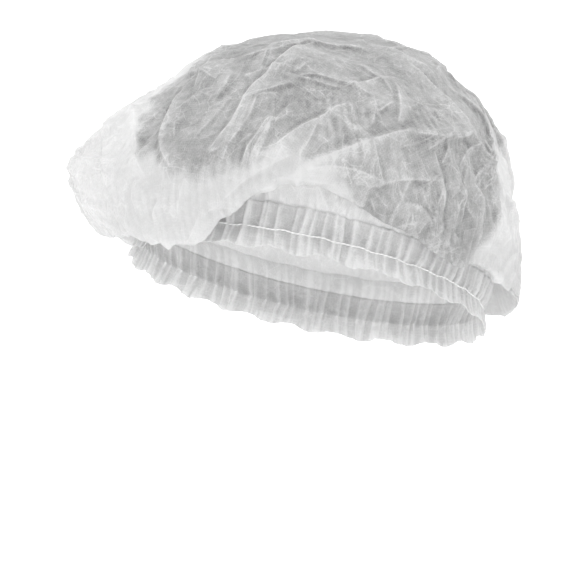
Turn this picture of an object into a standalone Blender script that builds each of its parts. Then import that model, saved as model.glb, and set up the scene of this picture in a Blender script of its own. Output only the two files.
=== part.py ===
"""Disposable hair cover cap in its worn form: crown, gathered hem band and elastic.

Metres, +Z up. The origin is the centre of the elastic's ring, where the head goes in.
The wearer faces -Y, so +X is the wearer's left. The ring lies tilted, high on the
forehead and low on the nape, and the crown hangs over it where the sheet is slack.
"""

import math
from typing import NamedTuple

import bmesh
import bpy
from mathutils import Vector

# The head opening, measured to the elastic's seat on the outside of the cloth.
RING_HALF_WIDTH = 0.080
RING_HALF_LENGTH = 0.100
RING_TILT = math.radians(19.0)

# The sheet and the elastic.
CLOTH_WALL = 0.0010
ELASTIC_DIAMETER = 0.0016
SEAT_GAP = 0.0003

# The gathered hem band, above and below the elastic.
FRILL_DEPTH = 0.0110
GATHER_HEIGHT = 0.0120
PLEAT_COUNT = 84
FRILL_FLARE = 0.0030
GATHER_FLARE = 0.0020
FRILL_PLEAT_DEPTH = 0.0022
WAIST_PLEAT_DEPTH = 0.0007
SCALLOP_COUNT = 22
SCALLOP_DEPTH = 0.0016

# The crown.
CROWN_HEIGHT = 0.1190
CROWN_SET_BACK = 0.0040
COLLAR_HEIGHT = 0.0020
LOBE_REACH = 0.0350
OVERHANG_DROP = 0.0240
FOLD_HEIGHT = 0.0045
FOLD_HALF_WIDTH = 0.0070
SHOULDER_RATIO = 0.66

# The dome's rim and upper points: shares of the hem's distance from the centre, and of the height.
DOME_RIM_RATIO = 0.87
DOME_POINTS = ((0.65, 0.905), (0.34, 0.98))

# How finely the pieces are cut.
CROWN_COLUMNS = 84
ELASTIC_COLUMNS = 72
ELASTIC_SIDES = 6


class Section(NamedTuple):
    """How the slack sheet hangs at one azimuth, 0 in front and 90 at the wearer's left.

    lip and tuck are heights from the gathers' top edge, as shares of OVERHANG_DROP: the
    lowest edge of the hanging fold, and the top of the pocket behind it. under, lip_out,
    bulge and shoulder are distances out from the ring, as shares of LOBE_REACH. level and
    crest are heights, as shares of CROWN_HEIGHT: of the fullest bulge, and of the dome's rim.
    """

    azimuth: float
    tuck: float
    lip: float
    under: float
    lip_out: float
    bulge: float
    level: float
    shoulder: float
    crest: float


SECTIONS = (
    Section(-150, 0.30, -0.36, 0.14, 0.38, 0.64, 0.08, 0.20, 0.79),
    Section(-118, 0.28, -0.34, 0.14, 0.38, 0.72, 0.20, 0.24, 0.80),
    Section(-90, 0.28, -0.32, 0.14, 0.40, 0.84, 0.31, 0.26, 0.80),
    Section(-65, 0.28, -0.40, 0.14, 0.42, 1.00, 0.40, 0.34, 0.79),
    Section(-40, 0.28, -0.72, 0.14, 0.44, 0.90, 0.43, 0.26, 0.79),
    Section(-20, 0.28, -0.86, 0.14, 0.43, 0.76, 0.45, 0.16, 0.79),
    Section(-4, 0.30, -1.04, 0.14, 0.42, 0.64, 0.47, 0.10, 0.79),
    Section(3, 0.34, -0.92, 0.14, 0.40, 0.56, 0.49, 0.08, 0.79),
    Section(8, 0.38, -0.46, 0.14, 0.37, 0.50, 0.51, 0.08, 0.79),
    Section(14, 0.44, -0.12, 0.14, 0.34, 0.44, 0.53, 0.08, 0.79),
    Section(24, 0.62, 0.32, 0.13, 0.27, 0.36, 0.56, 0.08, 0.79),
    Section(34, 0.68, 0.40, 0.11, 0.20, 0.28, 0.58, 0.09, 0.79),
    Section(44, 0.46, 0.27, 0.10, 0.16, 0.25, 0.58, 0.10, 0.79),
    Section(54, 0.18, 0.06, 0.10, 0.16, 0.26, 0.54, 0.10, 0.78),
    Section(64, 0.16, -0.08, 0.12, 0.24, 0.33, 0.48, 0.12, 0.78),
    Section(76, 0.20, -0.38, 0.13, 0.30, 0.40, 0.42, 0.12, 0.77),
    Section(90, 0.22, -0.16, 0.13, 0.30, 0.38, 0.36, 0.04, 0.75),
    Section(105, 0.24, -0.44, 0.14, 0.34, 0.42, 0.20, -0.05, 0.73),
    Section(125, 0.28, -0.46, 0.14, 0.38, 0.48, 0.04, -0.06, 0.73),
    Section(150, 0.28, -0.44, 0.14, 0.40, 0.58, 0.02, 0.06, 0.76),
    Section(180, 0.30, -0.38, 0.14, 0.40, 0.68, 0.03, 0.18, 0.78),
)


class Fold(NamedTuple):
    """A raised fold along a path over the crown's outside.

    height and width are shares of FOLD_HEIGHT and FOLD_HALF_WIDTH, and a negative height
    is a dent. The path's points are azimuths in degrees and levels, which are shares of
    CROWN_HEIGHT.
    """

    height: float
    width: float
    path: tuple


FOLDS = (
    # The ridge that runs over the wearer's left temple and round to the side.
    Fold(0.9, 1.0, ((19, 0.42), (25, 0.47), (32, 0.52), (47, 0.59), (60, 0.63), (80, 0.60))),
    # The long crease down the front, and the shorter ones beside it.
    Fold(0.6, 1.0, ((30, 0.97), (16, 0.87), (9, 0.78), (8, 0.66), (5, 0.50))),
    Fold(0.5, 0.9, ((20, 0.72), (16, 0.56))),
    Fold(0.4, 1.0, ((43, 0.74), (31, 0.67), (26, 0.61))),
    # The wearer's left side and back.
    Fold(0.4, 0.9, ((66, 0.82), (59, 0.66))),
    Fold(0.4, 0.9, ((44, 0.81), (68, 0.83))),
    Fold(0.5, 1.0, ((84, 0.84), (87, 0.72), (89, 0.58), (92, 0.36), (93, 0.18))),
    Fold(0.4, 0.9, ((50, 0.43), (60, 0.45), (70, 0.44))),
    Fold(-0.5, 1.2, ((48, 0.50), (66, 0.52))),
    Fold(0.6, 1.0, ((98, 0.78), (112, 0.66), (106, 0.48), (104, 0.15))),
    Fold(0.9, 1.1, ((136, 0.80), (132, 0.55), (128, 0.22))),
    Fold(0.9, 1.1, ((160, 0.84), (164, 0.60), (160, 0.28))),
    # The wearer's right side, where the sheet is pulled out into a corner.
    Fold(0.5, 1.0, ((-24, 0.82), (-18, 0.66), (-6, 0.50))),
    Fold(0.5, 1.0, ((-42, 0.76), (-30, 0.65), (-14, 0.47))),
    Fold(0.6, 1.0, ((-58, 0.68), (-42, 0.61), (-28, 0.46), (-26, 0.34))),
    Fold(0.6, 0.9, ((-58, 0.38), (-44, 0.33), (-30, 0.27))),
    Fold(0.6, 1.0, ((-72, 0.52), (-88, 0.60), (-104, 0.72))),
    Fold(0.5, 1.1, ((-76, 0.38), (-94, 0.33), (-116, 0.24))),
    Fold(0.9, 1.1, ((-140, 0.82), (-132, 0.56), (-136, 0.26))),
    Fold(0.7, 1.1, ((-168, 0.80), (-172, 0.56), (-166, 0.30))),
)

# Points on each stretch of a crown section, from the collar up to the centre.
STRETCH_STEPS = (2, 3, 3, 4, 2, 2, 2, 2)
# Heights of the band's rows: shares of the frill's depth, then of the gathers' height.
FRILL_ROWS = (-1.0, -0.5)
GATHER_ROWS = (0.0, 0.25, 0.6, 1.0)


def clear_scene():
    """Remove every object that the file opens with."""
    for item in list(bpy.data.objects):
        bpy.data.objects.remove(item, do_unlink=True)


def ring_up():
    """Unit vector square to the tilted ring, towards the crown."""
    return Vector((0.0, math.sin(RING_TILT), math.cos(RING_TILT)))


def ring_point(azimuth):
    """Point of the elastic's seat at an azimuth in radians."""
    ahead = RING_HALF_LENGTH * math.cos(azimuth)
    return Vector((RING_HALF_WIDTH * math.sin(azimuth), -ahead, ahead * math.tan(RING_TILT)))


def ring_out(azimuth):
    """Unit vector in the ring's plane, square to the ring and away from the head."""
    along = ring_point(azimuth + 1e-4) - ring_point(azimuth - 1e-4)
    return along.cross(ring_up()).normalized()


def spline_point(before, start, end, after, share):
    """Point on the Catmull-Rom curve between start and end."""
    return 0.5 * (
        2 * start
        + (end - before) * share
        + (2 * before - 5 * start + 4 * end - after) * share**2
        + (3 * start - before - 3 * end + after) * share**3
    )


def section_value(azimuth_deg, column):
    """One column of SECTIONS at any azimuth, on a smooth closed curve through its rows."""
    count = len(SECTIONS)
    turned = (azimuth_deg - SECTIONS[0].azimuth) % 360 + SECTIONS[0].azimuth
    row = max(i for i in range(count) if SECTIONS[i].azimuth <= turned)

    def azimuth_of(i):
        return SECTIONS[i % count].azimuth + 360 * (i // count)

    def value_of(i):
        return getattr(SECTIONS[i % count], column)

    def slope_at(i):
        return (value_of(i + 1) - value_of(i - 1)) / (azimuth_of(i + 1) - azimuth_of(i - 1))

    span = azimuth_of(row + 1) - azimuth_of(row)
    share = (turned - azimuth_of(row)) / span
    rise = share * share * (3 - 2 * share)
    return (
        value_of(row) * (1 - rise)
        + value_of(row + 1) * rise
        + slope_at(row) * span * share * (1 - share) ** 2
        - slope_at(row + 1) * span * share**2 * (1 - share)
    )


def section_controls(azimuth):
    """Control points of the crown's section at an azimuth in radians, hem to centre."""
    degrees = math.degrees(azimuth)
    start = (
        ring_point(azimuth)
        + ring_up() * (GATHER_HEIGHT + SEAT_GAP)
        + ring_out(azimuth) * GATHER_FLARE
    )
    collar = start + ring_up() * COLLAR_HEIGHT
    axis = Vector((0.0, CROWN_SET_BACK, 0.0))
    flat = Vector((start.x, start.y, 0.0)) - axis
    reach = flat.length
    out = flat.normalized()

    def placed(distance, height):
        return axis + out * distance + Vector((0.0, 0.0, height))

    tuck_height = collar.z + section_value(degrees, "tuck") * OVERHANG_DROP
    lip_height = collar.z + section_value(degrees, "lip") * OVERHANG_DROP
    shoulder_height = SHOULDER_RATIO * CROWN_HEIGHT
    return [
        start,
        collar,
        placed(reach + section_value(degrees, "under") * LOBE_REACH, tuck_height),
        placed(reach + section_value(degrees, "lip_out") * LOBE_REACH, lip_height),
        placed(
            reach + section_value(degrees, "bulge") * LOBE_REACH,
            section_value(degrees, "level") * CROWN_HEIGHT,
        ),
        placed(reach + section_value(degrees, "shoulder") * LOBE_REACH, shoulder_height),
        placed(reach * DOME_RIM_RATIO, section_value(degrees, "crest") * CROWN_HEIGHT),
        *[placed(reach * share, level * CROWN_HEIGHT) for share, level in DOME_POINTS],
        placed(0.0, CROWN_HEIGHT),
    ]


def section_points(azimuth):
    """The crown's section as a smooth row of points, the shared centre left out."""
    controls = section_controls(azimuth)
    mirrored_end = 2 * controls[-1] - controls[-2]
    mirrored_end.z = controls[-2].z
    through = controls[1:] + [mirrored_end]
    points = [controls[0], controls[1]]
    for index, steps in enumerate(STRETCH_STEPS):
        before = through[index - 1] if index else controls[0]
        for step in range(1, steps + 1):
            share = step / steps
            start, end, after = through[index], through[index + 1], through[index + 2]
            points.append(spline_point(before, start, end, after, share))
    return points[:-1]


def outside_point(azimuth_deg, level):
    """Place on the crown's outside at an azimuth and a share of its height."""
    points = section_points(math.radians(azimuth_deg))
    fullest = 2 + sum(STRETCH_STEPS[:3])
    height = level * CROWN_HEIGHT
    above = next((row for row in range(fullest, len(points)) if points[row].z >= height), None)
    if above is None:
        return points[-1]
    low, high = points[above - 1], points[above]
    return low.lerp(high, min(1.0, max(0.0, (height - low.z) / (high.z - low.z))))


def fold_lift(point, fold, places):
    """How far one fold, whose path runs through places, raises the sheet at a point."""
    nearest = math.inf
    for start, end in zip(places, places[1:], strict=False):
        along = end - start
        share = min(1.0, max(0.0, (point - start).dot(along) / along.length_squared))
        nearest = min(nearest, (point - start - along * share).length)
    return fold.height * FOLD_HEIGHT * math.exp(-((nearest / (fold.width * FOLD_HALF_WIDTH)) ** 2))


def crown_rings():
    """Rings of points for the crown's outer face, from the hem to next to the centre."""
    paths = [(fold, [outside_point(*place) for place in fold.path]) for fold in FOLDS]
    middle = Vector((0.0, 0.0, CROWN_HEIGHT * 0.25))
    first_lifted = 2 + sum(STRETCH_STEPS[:3])
    columns = []
    for column in range(CROWN_COLUMNS):
        points = section_points(math.tau * column / CROWN_COLUMNS)
        for row in range(first_lifted, len(points)):
            away = (points[row] - middle).normalized()
            lift = sum(fold_lift(points[row], fold, places) for fold, places in paths)
            points[row] = points[row] + away * lift
        columns.append(points)
    return [[column[row] for column in columns] for row in range(len(columns[0]))]


def material(name, colour, roughness):
    """A plain Principled material."""
    made = bpy.data.materials.new(name)
    made.use_nodes = True
    shader = made.node_tree.nodes["Principled BSDF"]
    shader.inputs["Base Color"].default_value = (*colour, 1.0)
    shader.inputs["Roughness"].default_value = roughness
    shader.inputs["Metallic"].default_value = 0.0
    return made


def add_object(name, mesh_builder, finish):
    """Make a named object from a bmesh and give it its material."""
    mesh = bpy.data.meshes.new(name)
    mesh_builder.to_mesh(mesh)
    mesh_builder.free()
    mesh.shade_smooth()
    mesh.materials.append(finish)
    made = bpy.data.objects.new(name, mesh)
    bpy.context.scene.collection.objects.link(made)
    return made


def bridge_rings(builder, rings):
    """Join each ring of vertices to the next with quads, and return the vertex rings."""
    made = [[builder.verts.new(point) for point in ring] for ring in rings]
    for lower, upper in zip(made, made[1:], strict=False):
        count = len(lower)
        for column in range(count):
            after = (column + 1) % count
            builder.faces.new((lower[column], lower[after], upper[after], upper[column]))
    return made


def build_crown(finish):
    """The bouffant crown: one hollow sheet, open at the gathers, closed at the centre."""
    builder = bmesh.new()
    made = bridge_rings(builder, crown_rings())
    centre = builder.verts.new((0.0, CROWN_SET_BACK, CROWN_HEIGHT))
    last = made[-1]
    for column, corner in enumerate(last):
        builder.faces.new((corner, last[(column + 1) % len(last)], centre))
    crown = add_object("crown", builder, finish)
    wall = crown.modifiers.new("cloth wall", "SOLIDIFY")
    wall.thickness = CLOTH_WALL
    wall.offset = -1.0
    wall.use_even_offset = False
    return crown


def band_offset(height, ridge):
    """How far a ridge or a valley of the gathers stands out of the ring at a height."""
    if height < 0:
        share = -height / FRILL_DEPTH
        flare = FRILL_FLARE * share * share
        depth = WAIST_PLEAT_DEPTH + (FRILL_PLEAT_DEPTH - WAIST_PLEAT_DEPTH) * share
    else:
        share = height / GATHER_HEIGHT
        flare = GATHER_FLARE * share
        depth = WAIST_PLEAT_DEPTH * 4 * share * (1 - share) + WAIST_PLEAT_DEPTH * (1 - share)
    return flare + (0.0 if ridge else -depth)


def band_ring(height_share):
    """One ring of the band's outer face, at a share of the frill or of the gathers."""
    frill = height_share < 0
    ring = []
    for column in range(2 * PLEAT_COUNT):
        azimuth = math.tau * column / (2 * PLEAT_COUNT)
        height = height_share * (FRILL_DEPTH if frill else GATHER_HEIGHT)
        offset = band_offset(height, column % 2 == 0)
        if frill:
            wave = 0.5 - 0.5 * math.cos(SCALLOP_COUNT * azimuth)
            height += SCALLOP_DEPTH * wave * height_share * height_share
        ring.append(ring_point(azimuth) + ring_up() * height + ring_out(azimuth) * offset)
    return ring


def build_band(finish):
    """The gathered hem: pleats drawn in by the elastic, with a scalloped frill below."""
    builder = bmesh.new()
    bridge_rings(builder, [band_ring(share) for share in FRILL_ROWS + GATHER_ROWS])
    band = add_object("gathered_band", builder, finish)
    wall = band.modifiers.new("cloth wall", "SOLIDIFY")
    wall.thickness = CLOTH_WALL
    wall.offset = -1.0
    wall.use_even_offset = False
    return band


def build_elastic(finish):
    """The elastic thread that lies on the gathers all the way round."""
    radius = ELASTIC_DIAMETER / 2
    builder = bmesh.new()
    rings = []
    for side in range(ELASTIC_SIDES):
        turn = math.tau * side / ELASTIC_SIDES
        ring = []
        for column in range(ELASTIC_COLUMNS):
            azimuth = math.tau * column / ELASTIC_COLUMNS
            centre = ring_point(azimuth) + ring_out(azimuth) * (radius + SEAT_GAP)
            around = ring_out(azimuth) * math.cos(turn) + ring_up() * math.sin(turn)
            ring.append(centre + around * radius)
        rings.append(ring)
    made = bridge_rings(builder, rings)
    first, last = made[0], made[-1]
    for column in range(ELASTIC_COLUMNS):
        after = (column + 1) % ELASTIC_COLUMNS
        builder.faces.new((last[column], last[after], first[after], first[column]))
    return add_object("elastic", builder, finish)


def main():
    """Build the cap's three pieces."""
    clear_scene()
    cloth = material("white nonwoven", (0.80, 0.81, 0.80), 0.85)
    thread = material("white elastic", (0.90, 0.90, 0.90), 0.6)
    build_crown(cloth)
    build_band(cloth)
    build_elastic(thread)


main()
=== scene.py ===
"""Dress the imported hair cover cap: crumpled translucent crown, pleated hem and elastic.

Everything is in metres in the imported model's frame. The origin is the centre of the
elastic's ring, the front is -Y, and azimuth 0 is in front with 90 on the cap's left (+X).
"""

import logging
import math
from dataclasses import dataclass, field
from enum import Enum
from typing import NamedTuple

import bpy
import numpy as np
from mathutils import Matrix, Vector, geometry, noise

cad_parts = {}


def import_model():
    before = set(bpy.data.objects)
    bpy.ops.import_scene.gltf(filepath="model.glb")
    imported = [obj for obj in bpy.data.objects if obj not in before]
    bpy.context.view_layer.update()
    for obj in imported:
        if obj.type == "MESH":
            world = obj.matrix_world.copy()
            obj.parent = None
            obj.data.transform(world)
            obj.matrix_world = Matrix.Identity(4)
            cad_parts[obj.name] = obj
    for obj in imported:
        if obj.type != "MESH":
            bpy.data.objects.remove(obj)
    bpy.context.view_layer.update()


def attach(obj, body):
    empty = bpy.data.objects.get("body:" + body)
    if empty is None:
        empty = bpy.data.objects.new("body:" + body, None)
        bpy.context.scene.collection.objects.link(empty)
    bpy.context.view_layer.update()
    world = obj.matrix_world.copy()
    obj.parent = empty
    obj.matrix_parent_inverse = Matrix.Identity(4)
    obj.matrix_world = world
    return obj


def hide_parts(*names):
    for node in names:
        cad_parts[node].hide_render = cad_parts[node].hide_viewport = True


LOG = logging.getLogger("hair_cover_cap")
MM = 0.001
# The ring's mean radius, by which the pattern on the hem and on the thread runs round.
MEAN_RADIUS = 0.09


class Gentle(Enum):
    """The side of a crease's path on which the sheet falls off gently."""

    LEFT = 1.0
    RIGHT = -1.0


LEFT, RIGHT = Gentle.LEFT, Gentle.RIGHT


def ease(share: np.ndarray) -> np.ndarray:
    """Keep shares between 0 and 1, and give them soft ends."""
    share = np.clip(share, 0.0, 1.0)
    return share * share * (3 - 2 * share)


def curve_point(
    before: np.ndarray, start: np.ndarray, end: np.ndarray, after: np.ndarray, share: float
) -> np.ndarray:
    """Point of a smooth curve through four points, a share of the way from start to end."""
    return 0.5 * (
        2 * start
        + (end - before) * share
        + (2 * before - 5 * start + 4 * end - after) * share**2
        + (3 * start - before - 3 * end + after) * share**3
    )


class Drape(NamedTuple):
    """How the slack sheet hangs at one azimuth.

    lip and tuck are heights from the gathers' top edge, as shares of the overhang's drop.
    under, lip_out, bulge and shoulder are distances out from the ring, as shares of the
    lobe's reach. level and crest are heights, as shares of the crown's height, and so is
    rest, above which the sheet lies close instead of hanging free.
    """

    azimuth: float
    tuck: float
    lip: float
    under: float
    lip_out: float
    bulge: float
    level: float
    shoulder: float
    crest: float
    rest: float


DRAPES = (
    Drape(-150, 0.30, -0.36, 0.14, 0.38, 0.64, 0.08, 0.20, 0.79, 0.46),
    Drape(-118, 0.28, -0.34, 0.14, 0.38, 0.72, 0.20, 0.24, 0.80, 0.64),
    Drape(-90, 0.28, -0.32, 0.14, 0.40, 0.84, 0.31, 0.26, 0.80, 0.84),
    Drape(-65, 0.28, -0.40, 0.14, 0.42, 1.00, 0.40, 0.34, 0.79, 0.92),
    Drape(-40, 0.28, -0.72, 0.14, 0.44, 0.90, 0.43, 0.26, 0.79, 0.86),
    Drape(-20, 0.28, -0.86, 0.14, 0.43, 0.76, 0.45, 0.16, 0.79, 0.58),
    Drape(-4, 0.30, -1.04, 0.14, 0.42, 0.64, 0.47, 0.10, 0.79, 0.52),
    Drape(3, 0.34, -0.92, 0.14, 0.40, 0.56, 0.49, 0.08, 0.79, 0.52),
    Drape(8, 0.38, -0.46, 0.14, 0.37, 0.50, 0.51, 0.08, 0.79, 0.53),
    Drape(14, 0.44, -0.12, 0.14, 0.34, 0.44, 0.53, 0.08, 0.79, 0.54),
    Drape(24, 0.62, 0.32, 0.13, 0.27, 0.36, 0.56, 0.08, 0.79, 0.56),
    Drape(34, 0.68, 0.40, 0.11, 0.20, 0.28, 0.58, 0.09, 0.79, 0.55),
    Drape(44, 0.46, 0.27, 0.10, 0.16, 0.25, 0.58, 0.10, 0.79, 0.42),
    Drape(54, 0.18, 0.06, 0.10, 0.16, 0.26, 0.54, 0.10, 0.78, 0.21),
    Drape(64, 0.16, -0.08, 0.12, 0.24, 0.33, 0.48, 0.12, 0.78, 0.04),
    Drape(76, 0.20, -0.38, 0.13, 0.30, 0.40, 0.42, 0.12, 0.77, 0.02),
    Drape(90, 0.22, -0.16, 0.13, 0.30, 0.34, 0.36, 0.04, 0.75, 0.20),
    Drape(105, 0.24, -0.44, 0.14, 0.34, 0.36, 0.20, -0.08, 0.73, 0.50),
    Drape(125, 0.28, -0.46, 0.14, 0.38, 0.42, 0.04, -0.08, 0.73, 0.60),
    Drape(150, 0.28, -0.44, 0.14, 0.40, 0.58, 0.02, 0.06, 0.76, 0.52),
    Drape(180, 0.30, -0.38, 0.14, 0.40, 0.68, 0.03, 0.18, 0.78, 0.38),
)


class Crease(NamedTuple):
    """A fold along a path over the crown.

    height and width are in millimetres. The sheet falls off gently on one side of the path
    and steeply on the other. The path's points are azimuths in degrees and levels, which
    are shares of the crown's height.
    """

    height: float
    width: float
    gentle: Gentle
    path: tuple


CREASES = (
    # The ridge that runs from the front round to the cap's left side.
    Crease(
        4.4, 2.8, RIGHT,
        ((15, 0.39), (25, 0.46), (32, 0.52), (40, 0.56), (50, 0.60), (60, 0.63), (72, 0.63)),
    ),
    Crease(2.0, 2.2, LEFT, ((60, 0.63), (72, 0.60), (84, 0.60), (92, 0.62))),
    # The lip of the overhang, and the fold beside it.
    Crease(
        2.8, 2.2, LEFT,
        (
            (1, 0.23), (3, 0.295), (9, 0.35), (16, 0.385), (23, 0.45),
            (29, 0.467), (36, 0.45), (41, 0.43), (46, 0.39),
        ),
    ),
    Crease(2.2, 2.0, LEFT, ((8, 0.36), (16, 0.46), (24, 0.53), (31, 0.57))),
    Crease(1.8, 2.0, RIGHT, ((30, 0.50), (40, 0.51), (50, 0.47), (56, 0.42))),
    # The long crease down the front, and the leaf-shaped folds beside it.
    Crease(3.0, 2.4, LEFT, ((40, 0.985), (28, 0.96), (16, 0.87), (10, 0.80), (8, 0.67), (4, 0.50))),
    Crease(1.6, 2.0, RIGHT, ((14, 0.80), (13, 0.70), (10, 0.60), (9, 0.50))),
    Crease(2.2, 1.8, LEFT, ((21, 0.72), (18, 0.64), (15, 0.55), (14, 0.48))),
    Crease(1.8, 1.8, RIGHT, ((21, 0.72), (21, 0.64), (19, 0.56), (18, 0.50))),
    Crease(1.6, 1.8, LEFT, ((47, 0.76), (36, 0.70), (31, 0.665), (24, 0.61), (20, 0.56))),
    Crease(1.2, 1.6, RIGHT, ((36, 0.70), (33, 0.63), (31, 0.56))),
    # The crossing folds over the crown.
    Crease(2.2, 2.4, LEFT, ((0, 0.91), (12, 0.94), (33, 0.975), (60, 0.97), (75, 0.93))),
    Crease(1.8, 2.4, LEFT, ((-10, 0.90), (8, 0.92), (20, 0.955), (45, 0.985))),
    Crease(2.0, 2.2, RIGHT, ((66, 0.985), (80, 0.95), (88, 0.88), (93, 0.80))),
    Crease(1.6, 1.8, LEFT, ((25, 0.84), (36, 0.85), (50, 0.80), (58, 0.76))),
    Crease(1.8, 1.8, RIGHT, ((42, 0.80), (52, 0.82), (64, 0.84), (74, 0.82))),
    Crease(2.0, 1.8, LEFT, ((67, 0.85), (65, 0.78), (62, 0.71), (59, 0.65))),
    Crease(1.6, 1.6, RIGHT, ((55, 0.76), (53, 0.70), (50, 0.64))),
    # The cap's left side.
    Crease(2.4, 2.0, RIGHT, ((80, 0.90), (84, 0.82), (87, 0.74), (88, 0.66), (90, 0.55))),
    Crease(2.2, 2.2, LEFT, ((46, 0.40), (54, 0.44), (62, 0.45), (72, 0.43))),
    Crease(2.0, 1.8, RIGHT, ((58, 0.36), (64, 0.335), (67, 0.29), (68, 0.23))),
    Crease(1.8, 1.8, LEFT, ((55, 0.21), (61, 0.22), (66, 0.27), (70, 0.34))),
    Crease(1.6, 1.6, LEFT, ((61, 0.15), (67, 0.19), (72, 0.26))),
    Crease(1.8, 1.8, RIGHT, ((72, 0.52), (76, 0.44), (77, 0.34), (76, 0.22))),
    Crease(2.8, 2.4, LEFT, ((94, 0.80), (104, 0.72), (111, 0.62), (107, 0.48), (104, 0.32), (105, 0.14))),
    Crease(2.2, 2.0, RIGHT, ((90, 0.62), (93, 0.48), (94, 0.34), (95, 0.16))),
    Crease(2.0, 2.0, LEFT, ((98, 0.64), (100, 0.50), (100, 0.34), (101, 0.20))),
    Crease(1.8, 1.8, RIGHT, ((84, 0.46), (86, 0.34), (85, 0.22), (84, 0.12))),
    # The cap's right side, where the sheet is pulled out into a corner.
    Crease(2.6, 2.2, LEFT, ((-22, 0.84), (-20, 0.74), (-16, 0.64), (-11, 0.57), (-4, 0.48))),
    Crease(2.6, 2.4, RIGHT, ((-44, 0.76), (-34, 0.68), (-21, 0.56), (-12, 0.44))),
    Crease(2.8, 2.4, LEFT, ((-58, 0.69), (-43, 0.61), (-35, 0.55), (-28, 0.46), (-26, 0.34))),
    Crease(2.8, 2.0, LEFT, ((-64, 0.47), (-52, 0.54), (-40, 0.60), (-30, 0.64))),
    Crease(2.4, 1.8, RIGHT, ((-64, 0.455), (-48, 0.49), (-32, 0.51), (-24, 0.52))),
    Crease(2.4, 1.8, LEFT, ((-64, 0.44), (-46, 0.44), (-29, 0.45))),
    Crease(2.6, 2.0, RIGHT, ((-63, 0.42), (-48, 0.37), (-36, 0.33), (-26, 0.28))),
    Crease(2.8, 2.4, LEFT, ((-68, 0.48), (-86, 0.60), (-104, 0.72))),
    Crease(2.6, 2.2, RIGHT, ((-70, 0.42), (-94, 0.34), (-116, 0.24))),
    Crease(2.4, 2.2, LEFT, ((-66, 0.62), (-76, 0.76), (-96, 0.88))),
    # The back.
    Crease(3.2, 3.0, LEFT, ((136, 0.84), (134, 0.66), (131, 0.48), (128, 0.22))),
    Crease(3.2, 3.0, RIGHT, ((160, 0.88), (164, 0.66), (163, 0.46), (160, 0.24))),
    Crease(3.2, 3.0, LEFT, ((-140, 0.86), (-134, 0.66), (-133, 0.46), (-137, 0.24))),
    Crease(2.8, 3.0, RIGHT, ((-168, 0.84), (-172, 0.64), (-170, 0.46), (-165, 0.26))),
    Crease(2.2, 2.4, LEFT, ((-176, 0.93), (-150, 0.90), (-120, 0.90))),
    Crease(2.2, 2.4, RIGHT, ((150, 0.94), (128, 0.88), (108, 0.82))),
)


@dataclass(frozen=True)
class ElasticRing:
    """The tilted ellipse on which the elastic is seated."""

    half_width: float = 0.080
    half_length: float = 0.100
    tilt: float = math.radians(19.0)

    def up(self) -> np.ndarray:
        """Unit vector square to the ring, towards the crown."""
        return np.array((0.0, math.sin(self.tilt), math.cos(self.tilt)))

    def point(self, azimuth: np.ndarray) -> np.ndarray:
        """Points of the ring.

        Args:
            azimuth: Azimuths in radians.

        Returns:
            One point for each azimuth.
        """
        ahead = self.half_length * np.cos(azimuth)
        across = self.half_width * np.sin(azimuth)
        return np.stack((across, -ahead, ahead * math.tan(self.tilt)), axis=-1)

    def out(self, azimuth: np.ndarray) -> np.ndarray:
        """Unit vectors in the ring's plane that point away from its middle.

        Args:
            azimuth: Azimuths in radians.

        Returns:
            One vector for each azimuth.
        """
        step = 1e-4
        along = self.point(azimuth + step) - self.point(azimuth - step)
        away = np.cross(along, self.up())
        return away / np.linalg.norm(away, axis=-1, keepdims=True)


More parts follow.
